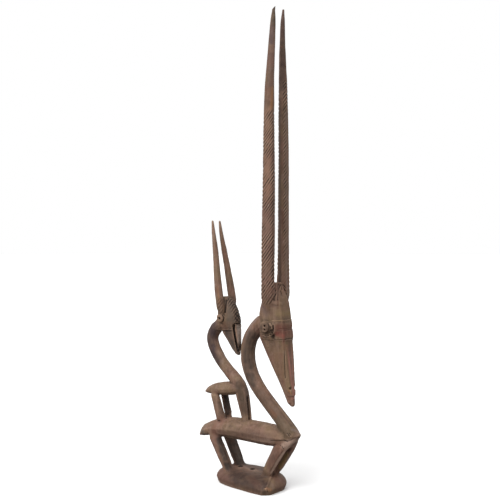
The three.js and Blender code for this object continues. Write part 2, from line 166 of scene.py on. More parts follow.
def cut_horns_off(form, height, cap):
    """Takes both large horns away above a slanting plane that follows their hatching."""
    ahead, out = horn_sizes(height)[:2]
    for side in (-1, 1):
        near = [
            v for v in form.verts
            if v.co.x > horn_zone_back and v.co.z > horn_zone_foot and v.co.y * side > 0
        ]
        faces = {f for v in near for f in v.link_faces}
        edges = {e for f in faces for e in f.edges}
        verts = {v for f in faces for v in f.verts}
        bmesh.ops.bisect_plane(
            form, geom=[*verts, *edges, *faces], dist=1e-7, plane_co=(ahead, side * out, height),
            plane_no=upward - rise_way * hatch_lean, clear_outer=True,
        )
    if cap:
        bmesh.ops.holes_fill(form, edges=[e for e in form.edges if e.is_boundary])
        bmesh.ops.triangulate(form, faces=[f for f in form.faces if len(f.verts) > 4])


block = bmesh.new()
block.from_mesh(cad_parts["headdress"].data)
bmesh.ops.remove_doubles(block, verts=block.verts, dist=same_spot)
cut_horns_off(block, horn_cut, cap=True)
block_mesh = bpy.data.meshes.new("block")
block.to_mesh(block_mesh)
block.free()
carved = finished("block", block_mesh, "REMESH", mode="VOXEL", voxel_size=grid)


def read(items, name, width, kind):
    """A property of all vertices or edges of a mesh, as an array with a row for each."""
    flat = np.empty(len(items) * width, kind)
    items.foreach_get(name, flat)
    return flat.reshape(-1, width)


def place(mesh, spots):
    """Moves the mesh's vertices to the spots."""
    mesh.vertices.foreach_set("co", spots.astype(np.float32).ravel())
    mesh.update()


def relaxed(spots, edges, times, share=1.0):
    """The spots after rounds in which each moves half of the way to its neighbours' middle.

    share is how much of that move a spot makes, one number or one for each spot.
    """
    spots = spots.copy()
    starts, ends = edges.T
    total = len(spots)
    counts = np.maximum(np.bincount(starts, minlength=total) + np.bincount(ends, minlength=total), 1)
    for _ in range(times):
        for column in spots.T:
            sums = np.bincount(starts, column[ends], total) + np.bincount(ends, column[starts], total)
            column += (sums / counts - column) * share / 2
    return spots


def step(values, low, high):
    """0 below low, 1 above high and a smooth ramp between them."""
    share = np.clip((values - low) / (high - low), 0, 1)
    return share * share * (3 - 2 * share)


def noise_at(spots, size, seed):
    """A soft random value from -1 to 1 at each spot, that changes over about that size."""
    values = np.random.default_rng(seed).uniform(-1, 1, (32, 32, 32))
    scaled = spots / size
    base = np.floor(scaled).astype(int)
    share = step(scaled - base, 0, 1)
    total = np.zeros(len(spots))
    for corner in np.ndindex(2, 2, 2):
        weight = np.prod(np.where(corner, share, 1 - share), axis=1)
        total += weight * values[tuple(((base + corner) % 32).T)]
    return total


def facets_at(spots, size, seed):
    """Heights of flat tilted cells of about that size, such as the cuts of an adze leave."""
    random = np.random.default_rng(seed)
    middles = random.uniform(0.15, 0.85, (16, 16, 16, 3))
    tilts = random.uniform(-0.5, 0.5, (16, 16, 16, 3))
    scaled = spots / size
    base = np.floor(scaled).astype(int)
    nearest = np.full(len(spots), np.inf)
    heights = np.zeros(len(spots))
    for corner in np.ndindex(3, 3, 3):
        cell = base + corner - 1
        place_in_table = tuple((cell % 16).T)
        gap = scaled - cell - middles[place_in_table]
        distance = (gap**2).sum(axis=1)
        heights = np.where(distance < nearest, (gap * tilts[place_in_table]).sum(axis=1), heights)
        nearest = np.minimum(distance, nearest)
    return heights


def near_line(spots, line, reach, wall):
    """1 along a line of straight pieces, 0 beyond reach, with a ramp over the wall's share of it."""
    in_box = (spots > line.min(axis=0) - reach) & (spots < line.max(axis=0) + reach)
    close = np.flatnonzero(in_box.all(axis=1))
    nearest = np.full(len(close), np.inf)
    pieces = zip(line[:-1], line[1:]) if len(line) > 1 else zip(line, line)
    for start, end in pieces:
        way = end - start
        offset = spots[close] - start
        share = np.clip(offset @ way / max(way @ way, 1e-12), 0, 1)
        nearest = np.minimum(nearest, np.linalg.norm(offset - share[:, None] * way, axis=1))
    values = np.zeros(len(spots))
    values[close] = 1 - step(nearest, reach * (1 - wall), reach)
    return values


# The carver's planes on necks, bodies and legs are worn smooth, and the heads stay crisp. What
# the smoothing takes off a limb as a whole is put back, and what it takes off its corners too.
soft_rounds = 16
rounded_off = 0.5 * MM
crisp_rounded_off = 0.3 * MM
edges = read(carved.edges, "vertices", 2, np.int32)
crisp = relaxed(read(carved.vertices, "co", 3, np.float32).astype(float), edges, 2)
outward = read(carved.vertices, "normal", 3, np.float32).astype(float)
soft = relaxed(crisp, edges, soft_rounds)
lost = relaxed(((crisp - soft) * outward).sum(axis=1, keepdims=True), edges, soft_rounds)
soft += outward * (lost + rounded_off)

# How much each spot belongs to a head or to the plinth, as ramps between two places in metres.
x, y, z = crisp.T
on_large_head = step(x, 0.018, 0.03) * step(z, 0.16, 0.17)
on_small_head = step(x, -0.078, -0.07) * step(z, 0.245, 0.25) * step(-x, 0.0, 0.006)
on_plinth = 1 - step(z, 0.014, 0.026)
sharpness = np.clip(np.maximum(on_large_head, on_small_head) + on_plinth * 0.75, 0, 1)[:, None]
spots = (crisp + outward * crisp_rounded_off) * sharpness + soft * (1 - sharpness)
place(carved, spots)


def surface_of(mesh):
    """What the camera's rays and nearest points are looked up on."""
    holder = linked("surface", mesh)
    tree = BVHTree.FromObject(holder, bpy.context.evaluated_depsgraph_get())
    bpy.data.objects.remove(holder)
    return tree


surface = surface_of(carved)
nearest_part = 1.36            # distances from the camera that the carving lies between
farthest_part = 1.68
search_step = 0.02


def seen_at(pixel):
    """The point of the carving that the photograph shows at a pixel, or else the nearest to it."""
    way = ray_through(pixel)
    hit = surface.ray_cast(camera.location, way)[0]
    if hit:
        return hit
    reaches = np.arange(nearest_part, farthest_part, search_step)
    passed = [surface.find_nearest(camera.location + way * reach) for reach in reaches]
    return min(passed, key=lambda found: found[3])[0]


line_step = 3.5                # pixels between the points where a line is laid on the carving


def lines_through(pixels, both_sides):
    """The line on the carving through those pixels, and its mirror image on the left side."""
    corners = np.array(pixels, float)
    places = np.concatenate([[0], np.cumsum(np.linalg.norm(np.diff(corners, axis=0), axis=1))])
    if len(pixels) > 1:
        walk = np.linspace(0, places[-1], max(len(pixels), int(places[-1] / line_step) + 2))
    else:
        walk = [0]
    passed = np.column_stack([np.interp(walk, places, column) for column in corners.T])
    lines = [np.array([seen_at(pixel) for pixel in passed])]
    if both_sides:
        lines.append(np.array([surface.find_nearest((x, -y, z))[0] for x, y, z in lines[0]]))
    return lines


def along(spots, pixels, reach, wall, both_sides=True):
    """near_line for a line through pixels, on one side of the carving or on both."""
    lines = lines_through(pixels, both_sides)
    return np.max([near_line(spots, line, reach * MM, wall) for line in lines], axis=0)


# Places that are planed smooth before the finer cuts: pixels that the photograph shows them at,
# half their width in millimetres and the rounds of smoothing.
planed_places = [
    ([(264, 327.3), (272, 329.5)], 14, 300),
    ([(219.9, 318.4), (223.5, 321)], 10, 300),
    ([(290.6, 388.7)], 4.5, 200),
    ([(266, 298), (269, 305), (268, 313)], 12, 120),
    ([(279, 288), (283, 296), (286.4, 312)], 8, 120),
    ([(210, 433), (216, 438), (222, 441)], 11, 240),
    ([(277, 427), (282, 434), (285.5, 440)], 8, 120),
    ([(271, 441), (278, 443), (285, 443), (292, 440)], 7, 160),
    ([(218, 305), (218.5, 312)], 7, 120),
    ([(219, 418.6), (223.5, 420.5)], 8, 160),
    ([(210.5, 390.5), (213, 391.5), (217, 392)], 7, 200),
]


def planed(spots, mask, rounds):
    """The spots after smoothing where the mask is over 0, as strongly as it says."""
    touching = edges[mask[edges].max(axis=1) > 0]
    used, local = np.unique(touching, return_inverse=True)
    spots[used] = relaxed(spots[used], local.reshape(-1, 2), rounds, mask[used])
    return spots


for pixels, reach, rounds in planed_places:
    spots = planed(spots, along(spots, pixels, reach, 0.5), rounds)

# The legs run into the plinth without an edge, and the tying holes keep theirs.
tying_holes = np.array([[-32.5, 5], [-1.5, 5]]) * MM
by_holes = np.min([np.linalg.norm(spots[:, :2] - hole, axis=1) for hole in tying_holes], axis=0)
at_feet = step(spots[:, 2], 0.009, 0.014) * (1 - step(spots[:, 2], 0.036, 0.042))
spots = planed(spots, at_feet * step(by_holes, 0.004, 0.006), 90)
place(carved, spots)
surface = surface_of(carved)
outward = read(carved.vertices, "normal", 3, np.float32).astype(float)

# Cuts that both sides have: the pixels that they pass through, half their width and their depth
# in millimetres, and the share of the half width that their walls take. A form with a negative
# depth is raised.
cuts = [
    # Large head: ear knob with two holes, and the crescent in front of it.
    ([(264, 327.3)], 11, -1.9, 0.25),
    ([(265.2, 325.9)], 2.7, 8, 0.45),
    ([(265.1, 329.5)], 2.1, 7, 0.45),
    ([(269.9, 324), (271.6, 327), (271.4, 331), (269.6, 334)], 2.6, -1.5, 0.5),
    ([(270.6, 327), (270.7, 330.5), (269.6, 333)], 1.3, 1.8, 0.6),
    ([(273, 325.5), (273.4, 329), (272.8, 332.5), (271, 335), (268, 335.8)], 1.6, 2.4, 0.6),
    ([(271.8, 330), (271.2, 332.6)], 2.0, 2.2, 0.6),
    ([(262.8, 335.4), (266, 337)], 1.7, -0.9, 0.6),
    # Large head: the brow's lit ledge, the band's grooves and lower edge, the plate's line.
    ([(272, 320.9), (284, 320.6), (291.3, 319.8)], 1.8, -0.7, 0.7),
    ([(274, 322.9), (284, 322.7), (291.6, 322)], 1.4, 0.4, 0.8),
    ([(277.5, 330.2), (284, 330.3), (291.9, 329.6)], 1.3, 0.5, 0.9),
    ([(274.5, 339.6), (283.5, 339.9), (291.9, 338.2)], 1.7, 0.7, 0.9),
    ([(284, 341), (284.2, 350), (284.5, 362), (285.2, 378)], 1.2, 0.8, 0.8),
    ([(290.6, 388.7)], 2.0, 5, 0.5),
    # Small head: eye lobe with its hole and the ring round it.
    ([(219.9, 318.4)], 9.5, -1.9, 0.35),
    ([(219.9, 318.4)], 3.1, 7, 0.35),
    ([(222.4, 315), (224, 318), (223.2, 321.6), (220.6, 323)], 1.6, 1.1, 0.7),
    # Places that stand a little prouder: the small head's back edge and its muzzle's lower edge,
    # the plinth's tail end, the large muzzle's tip, the left horn's root and the small nose.
    ([(217.4, 303), (217.6, 312), (217.6, 319)], 8, -1.2, 0.9),
    ([(223, 331.5), (229.6, 342), (234.8, 350.5)], 5, -0.9, 0.9),
    ([(216.4, 472.6)], 4, -1.3, 0.9),
    ([(288.7, 402.4)], 5, -1.9, 0.9),
    ([(288.8, 296), (289.2, 303)], 6, -1.0, 0.9),
    ([(241, 326), (241, 345)], 4, -0.6, 0.9),
    # The small antelope's hind legs are thick in front.
    ([(222.5, 397), (224, 404), (226, 413)], 5, -1.1, 0.9),
    # Small head: halter, the deep cut beside the nose, the forehead's lower edge over the nose,
    # and the valley behind the forehead.
    ([(217.4, 329.2), (224, 329.4), (231.4, 329.5)], 1.5, -0.8, 0.7),
    ([(217.4, 331.2), (224, 331.3), (231.2, 331.3)], 1.3, 1.0, 0.8),
    ([(233.9, 325.5), (234.8, 333), (236.5, 342), (238.3, 350.5)], 2.8, 6.5, 0.45),
    ([(234.5, 323.8), (237.5, 323.8), (240.3, 323.9)], 1.8, 1.6, 0.7),
    ([(226.3, 300), (225.8, 306), (225.2, 312.5)], 2.2, 2.2, 0.8),
    # Large body: the crease where the chest ends over the forelegs.
    (
        [(271, 440.6), (279, 441), (284, 440.4), (287.4, 441.6), (291.2, 440.2), (295, 438)],
        2.2, 0.6, 0.9,
    ),
    ([(284.4, 440.3), (287.6, 441.7)], 1.5, 0.7, 0.7),
]

# Damage that only the photographed side has: gouges under the horns, pocks on the cheek and
# the foreleg, scratches on the chest, a bare ridge down the foreleg and chips at the plinth.
damage = [
    ([(280.6, 284), (278.4, 290), (277.8, 300)], 1.6, 1.0, 0.8),
    ([(281, 285), (282, 289.5)], 1.2, 1.6, 0.6),
    ([(281.8, 284.4), (285.2, 290.8)], 1.4, 2.1, 0.6),
    ([(283.4, 284.8), (286, 288.4)], 1.0, 1.2, 0.6),
    ([(280, 290), (281.8, 294)], 1.0, 1.2, 0.6),
    ([(286.2, 294.2)], 1.7, 2.2, 0.6),
    ([(264.6, 344.6)], 1.1, 1.1, 0.7),
    ([(267.2, 344.8)], 1.1, 1.1, 0.7),
    ([(268.2, 347.8)], 1.0, 0.9, 0.7),
    ([(280.8, 445.4)], 1.2, 1.2, 0.6),
    ([(282.2, 447.2)], 1.7, 1.7, 0.6),
    ([(283.4, 449)], 1.5, 1.5, 0.6),
    ([(281.6, 450)], 1.0, 1.0, 0.6),
    ([(287, 433.5), (289.6, 436.4)], 1.0, 0.8, 0.6),
    ([(289.4, 433.2), (291, 435.4)], 0.9, 0.7, 0.6),
    ([(265.2, 487.6)], 1.6, 1.2, 0.8),
    ([(266.6, 490), (267.4, 491.6)], 1.8, 0.8, 0.8),
    ([(272.6, 473), (269.6, 480), (267.4, 486)], 3.0, -0.9, 0.9),
]
relief = np.zeros(len(spots))
hollow = np.zeros(len(spots))
darkening = 1.2                # depth in millimetres at which a cut is full of old dirt
for marks, both_sides in ((cuts, True), (damage, False)):
    for pixels, reach, depth, wall in marks:
        share = along(spots, pixels, reach, wall, both_sides)
        relief -= share * depth * MM
        hollow = np.maximum(hollow, share * np.clip(depth / darkening, 0, 1))

# Hatching. The lines of the large horns go on down over their roots, and the small head has a
# finer net of crossing lines over its forehead and horn roots.
hatch_depth = 0.6 * MM
hatch_foot = 0.352             # height at which the hatching starts
right_hatch_top = 0.722        # heights at which it ends, below the plain tips
left_hatch_top = 0.785
line_count = 68
groove_profile = np.array([
    [0, 0], [0.2, 0.1], [0.36, 0.9], [0.5, 1], [0.64, 0.9], [0.8, 0.1], [1, 0],
])
line_steps = np.random.default_rng(4).uniform(6.2, 8.6, line_count) * MM
line_levels = hatch_foot - 12 * MM + np.cumsum(line_steps)


def groove_at(level):
    """How deep the hatching is at a level of its lines, from 0 on the ridges to 1."""
    line = np.clip(np.searchsorted(line_levels, level) - 1, 0, line_count - 2)
    share = (level - line_levels[line]) / line_steps[line + 1]
    return np.interp(share, *groove_profile.T)


def hatch_strength(spots, way, side):
    """How strongly a large horn is hatched where its surface lies in a sideways direction."""
    height = spots[:, 2]
    aside = way @ np.array(rightward)[:2]
    facing = -way @ np.array(forward)[:2]
    wear = 0.85 + 0.4 * noise_at(spots, 26 * MM, 5) + 0.9 * noise_at(spots, 6 * MM, 6)
    top = np.where(side < 0, right_hatch_top, left_hatch_top)
    reach = step(height, hatch_foot, hatch_foot + 6 * MM) * (1 - step(height, top - 10 * MM, top))
    outer = 1 - step(-way[:, 1] * side, 0.72, 0.9)
    worn_front = (side > 0) * step(aside, 0.2, 0.6) * step(facing, -0.2, 0.3)
    worn_front *= 1 - step(height, 0.72, 0.74)
    return np.clip(wear, 0.1, 1.3) * reach * outer * (1 - 0.75 * worn_front)


side = np.where(y < 0, -1, 1)
root_foot = 0.34               # height of the lowest part of the horns' roots
ahead, out = horn_sizes(np.clip(spots[:, 2], root_foot, horn_cut))[:2]
offset = spots[:, :2] - np.column_stack([ahead, side * out])
radius = np.linalg.norm(offset, axis=1)
on_roots = (spots[:, 2] > root_foot) * (1 - step(radius, 15 * MM, 19 * MM))
on_roots = on_roots * step(spots[:, 0], 0.02, 0.03)
way = offset / np.maximum(radius, 1e-9)[:, None]
level = spots[:, 2] - offset @ np.array(rise_way)[:2] * hatch_lean
root_hatch = groove_at(level) * hatch_strength(spots, way, side) * on_roots
plain_root = 1 - 0.8 * (side > 0) * (1 - step(spots[:, 2], 0.43, 0.45))
root_hatch *= np.where(outward[:, 1] * side < -0.35, 0, 1) * plain_root
relief -= root_hatch * hatch_depth
hollow = np.maximum(hollow, root_hatch * 0.75)
bright = (1 - groove_at(level)) * hatch_strength(spots, way, side) * on_roots * plain_root * 0.9

# The net's lines slope as the photograph shows them, and mirrored on the left side.
net_pitch = 4.9 * MM
net_depth = 0.8 * MM
net_slope = math.radians(52)
across_view = np.array(rightward)
net_ways = {"rising": -math.sin(net_slope), "falling": math.sin(net_slope)}
right_facing = (np.where(spots[:, 1:2] > 0, [[1, -1, 1]], [[1, 1, 1]])) * spots
forehead = along(spots, [(233, 301), (237, 309), (238.5, 319)], 13, 0.5)
crossed = along(spots, [(237.5, 316), (238.5, 322)], 9, 0.4)
near_root = along(spots, [(219.8, 301), (220.6, 311)], 8, 0.4) * 0.6
net = np.zeros(len(spots))
for name, mask in (("rising", np.maximum(forehead, near_root)), ("falling", crossed)):
    across = right_facing @ (across_view * net_ways[name] + np.array([0, 0, math.cos(net_slope)]))
    wobble = noise_at(spots, 9 * MM, 11) * 0.35 * MM
    share = ((across + wobble) / net_pitch) % 1
    net = np.maximum(net, np.interp(share, *groove_profile.T) * mask)
bright = np.maximum(bright, (1 - net) * np.maximum(forehead, crossed))
net *= np.clip(0.95 + 0.5 * noise_at(spots, 8 * MM, 12), 0.4, 1)
relief -= net * net_depth
hollow = np.maximum(hollow, net)

# The tying holes' mouths are worn wide and full of dirt.
mouth_wear = 1.6 * MM
mouth = step(spots[:, 2], 0.016, 0.02) * (1 - step(spots[:, 2], 0.034, 0.038))
relief -= (1 - step(by_holes, 0.003, 0.0055)) * mouth * mouth_wear
hollow = np.maximum(hollow, (1 - step(by_holes, 0.0045, 0.0065)) * mouth)

# The right foreleg's front is cut further back than the left one's, and its edge is coloured pale.
foreleg_set_back = 3.4 * MM
level_gap = 0.005
levels = np.arange(0.03, 0.105, level_gap)
front_half = spots[spots[:, 0] > 0.03]
fronts = [front_half[abs(front_half[:, 2] - level) < level_gap / 2, 0].max() for level in levels]
behind_front = np.interp(spots[:, 2], levels, fronts) - spots[:, 0]
moved_back = step(-spots[:, 1], 0, 0.004) * (1 - step(behind_front, 0.002, 0.014))
moved_back *= step(spots[:, 2], 0.03, 0.045) * (1 - step(spots[:, 2], 0.078, 0.1)) * foreleg_set_back
pale_front_edge = [
    (289.6, 446.4), (286.2, 450.6), (282.9, 454.2), (279.5, 458.8), (276.3, 464), (273.5, 469),
    (272, 473),
]

# The marks of the adze, and a slight unevenness all over.
adze_size = np.array([13, 13, 24]) * MM
adze_depth = 0.45 * MM
flat_share = 1 - 0.55 * np.maximum(on_large_head, on_small_head)
unevenness = 0.2 * MM
relief += facets_at(spots, adze_size, 1) * adze_depth * flat_share
relief += noise_at(spots, 10 * MM, 2) * unevenness
spots = spots + outward * relief[:, None]
spots[:, 0] -= moved_back
solid = read(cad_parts["headdress"].data.vertices, "co", 3, np.float32)
spots = np.clip(spots, solid.min(axis=0), solid.max(axis=0))
place(carved, spots)
surface = surface_of(carved)

# Dirt lies in whatever is deeper than its surroundings, and what stands out is rubbed bright.
close_dirt = 0.35 * MM         # depths and heights that take the full dirt or wear, against the
wide_dirt = 1.6 * MM           # close and the wide surroundings
close_wear = 0.3 * MM
wide_wear = 1.5 * MM
outward = read(carved.vertices, "normal", 3, np.float32).astype(float)
close = ((relaxed(spots, edges, 6) - spots) * outward).sum(axis=1)
wide = ((relaxed(spots, edges, 60) - spots) * outward).sum(axis=1)
hollow = np.maximum(hollow, close / close_dirt) + np.clip(wide / wide_dirt, 0, 0.6)
hollow = np.clip(hollow, 0, 1)
hollow *= 1 - along(spots, pale_front_edge, 5, 0.5, False)
worn = np.clip(-close / close_wear, 0, 1) * 0.5 + np.clip(-wide / wide_wear, 0, 1) * 0.4
worn = np.clip(worn * (0.8 + 0.7 * noise_at(spots, 12 * MM, 3)), 0, 1)
worn = np.maximum(worn, bright * (0.7 + 0.5 * noise_at(spots, 9 * MM, 13)))


def keep(mesh, name, values):
    """Stores a value for each vertex in the mesh."""
    mesh.attributes.new(name, "FLOAT", "POINT").data.foreach_set("value", values.astype(np.float32))


keep(carved, "hollow", hollow)
keep(carved, "worn", worn)
carved = finished("carved", carved, "DECIMATE", ratio=min(1.0, face_limit / (2 * len(carved.polygons))))

form = bmesh.new()
form.from_mesh(carved)
parting_overlap = 3 * MM       # how far below the parting the carved head is cut open
cut_horns_off(form, horn_cut - parting_overlap, cap=False)

# The large horns: rings that lean the way the cut lines run, so that each line is a ring.
horn_faces = 32
horn_squareness = 2.3          # 2 is a round section, and more is squarer
plain_rings = 60               # rings of the plain tip
horn_rim_foot = 0.37           # the open rims of the horns' halves all lie above this height
rim_gap = 0.4 * MM             # between the head's rim and the horn's, before they are bridged
broken_half = 2.9 * MM         # half the width of the right horn where its tip is broken off
break_slope = 1.1              # fall of the break for each millimetre towards the left


def long_horn(side):
    """A large horn from the parting up to its tip, open below. The right one's tip is broken off."""
    parting = horn_cut - parting_overlap + rim_gap
    lines = [i for i in range(line_count - 1) if line_levels[i] > parting]
    ring_shares = groove_profile[:-1, 0]
    levels = [line_levels[i] + share * line_steps[i + 1] for i in lines for share in ring_shares]
    tip = back_height + horn_tip * MM
    plain = 1 - (1 - np.arange(1, plain_rings + 1) / plain_rings) ** 1.15
    levels = np.array([parting, *levels, *(levels[-1] + (tip - levels[-1]) * plain)])[:, None]
    angles = np.linspace(0, 2 * math.pi, horn_faces + 1)[None, :]
    front, across = np.sin(angles), np.cos(angles)
    reach = (abs(front) ** horn_squareness + abs(across) ** horn_squareness) ** (-1 / horn_squareness)
    turn = side * horn_turn
    turned = np.array([
        [math.cos(turn), -math.sin(turn)],
        [-math.sin(turn), -math.cos(turn)],
    ])

    def outline(thick, wide):
        """The sideways offsets of the horn's outline, of those half sizes."""
        return np.stack([front * reach * thick, across * reach * wide], axis=-1) @ turned.T

    lean_ease = step(tip - levels, 0, (tip - back_height - horn_foot * MM) / 3)
    rise = outline(*horn_sizes(levels)[2:]) @ np.array(rise_way)[:2]
    heights = np.minimum(levels + rise * hatch_lean * lean_ease, tip)
    first_spots = np.stack([rise, np.broadcast_to(angles * 4 * MM, heights.shape), heights], axis=-1)
    wobble = noise_at(first_spots.reshape(-1, 3), 11 * MM, 15 + side).reshape(heights.shape)
    wobble *= np.sin(angles / 2) * step(levels, parting, parting + 8 * MM)
    wobble *= step(tip - levels, 0.04, 0.06) * MM
    heights = np.minimum(heights + wobble, tip)
    ahead, out, thick, wide = horn_sizes(heights)
    if side < 0:
        thick, wide = np.maximum(thick, broken_half), np.maximum(wide, broken_half)
    flat = outline(thick, wide)
    if side < 0:
        to_the_right = flat @ np.array(rightward)[:2]
        heights = np.minimum(heights, tip - (broken_half - to_the_right) * break_slope)
    way = flat / np.linalg.norm(flat, axis=-1, keepdims=True)
    spots = np.stack([ahead + flat[..., 0], side * out + flat[..., 1], heights], axis=-1)
    flat_spots = spots.reshape(-1, 3)
    strength = hatch_strength(flat_spots, way.reshape(-1, 2), np.array(side)).reshape(heights.shape)
    groove = groove_at(levels) * strength
    swell = noise_at(flat_spots, 16 * MM, 8).reshape(heights.shape) * 0.3 * MM
    spots[..., :2] += way * (swell * step(tip - heights, 0, 20 * MM) - groove * hatch_depth)[..., None]
    wear = 0.9 * (1 + noise_at(flat_spots, 14 * MM, 9).reshape(heights.shape))
    ridge = strength * (1 - groove_at(levels)) * wear

    horn = bmesh.new()
    hollow_layer = horn.verts.layers.float.new("hollow")
    worn_layer = horn.verts.layers.float.new("worn")
    bmesh.ops.create_grid(horn, x_segments=horn_faces, y_segments=len(levels) - 1, size=0.5)
    for vert in horn.verts:
        spot = (round((vert.co.y + 0.5) * (len(levels) - 1)), round((vert.co.x + 0.5) * horn_faces))
        vert.co = spots[spot]
        vert[hollow_layer] = min(groove[spot], 1)
        vert[worn_layer] = ridge[spot]
    bmesh.ops.remove_doubles(horn, verts=horn.verts, dist=2e-5)
    rims = [e for e in horn.edges if e.is_boundary and e.verts[0].co.z > horn_cut + 0.1]
    bmesh.ops.holes_fill(horn, edges=rims)
    made = bpy.data.meshes.new("horn")
    horn.to_mesh(made)
    horn.free()
    return made


def rims_of(form):
    """The open rims of a form, each a list of edges."""
    left = {e for e in form.edges if e.is_boundary}
    rims = []
    while left:
        rim = {left.pop()}
        grown = set(rim)
        while grown:
            grown = {e for f in grown for v in f.verts for e in v.link_edges if e in left}
            left -= grown
            rim |= grown
        rims.append(list(rim))
    return rims


for side in (-1, 1):
    form.from_mesh(long_horn(side))
for side in (-1, 1):
    pair = [
        rim for rim in rims_of(form)
        if sum(e.verts[0].co.y for e in rim) * side > 0 and rim[0].verts[0].co.z > horn_rim_foot
    ]
    bmesh.ops.bridge_loops(form, edges=[e for rim in pair for e in rim])
bmesh.ops.triangulate(form, faces=[f for f in form.faces if len(f.verts) > 4])
bmesh.ops.recalc_face_normals(form, faces=form.faces)
for face in form.faces:
    face.smooth = True
carving_mesh = bpy.data.meshes.new("headdress_carving")
form.to_mesh(carving_mesh)
form.free()
carving = linked("carved_antelopes", carving_mesh)


# Old dense wood under a dark worn patina. It gives a dull brown surface with a faint sheen
# where hands have rubbed it. Colours are given as they look in the studio's light.
light_level = 1.3              # how much brighter a lit side looks than its own colour


def linear(hex_colour):
    """The linear colour of an sRGB hex value."""
    parts = [int(hex_colour[i:i + 2], 16) / 255 for i in (1, 3, 5)]
    return [
        part / 12.92 if part <= 0.04045 else ((part + 0.055) / 1.055) ** 2.4 for part in parts
    ] + [1.0]


def lit(hex_colour):
    """The surface colour that looks like an sRGB hex value in the studio's light."""
    return [part / light_level for part in linear(hex_colour)[:3]] + [1.0]
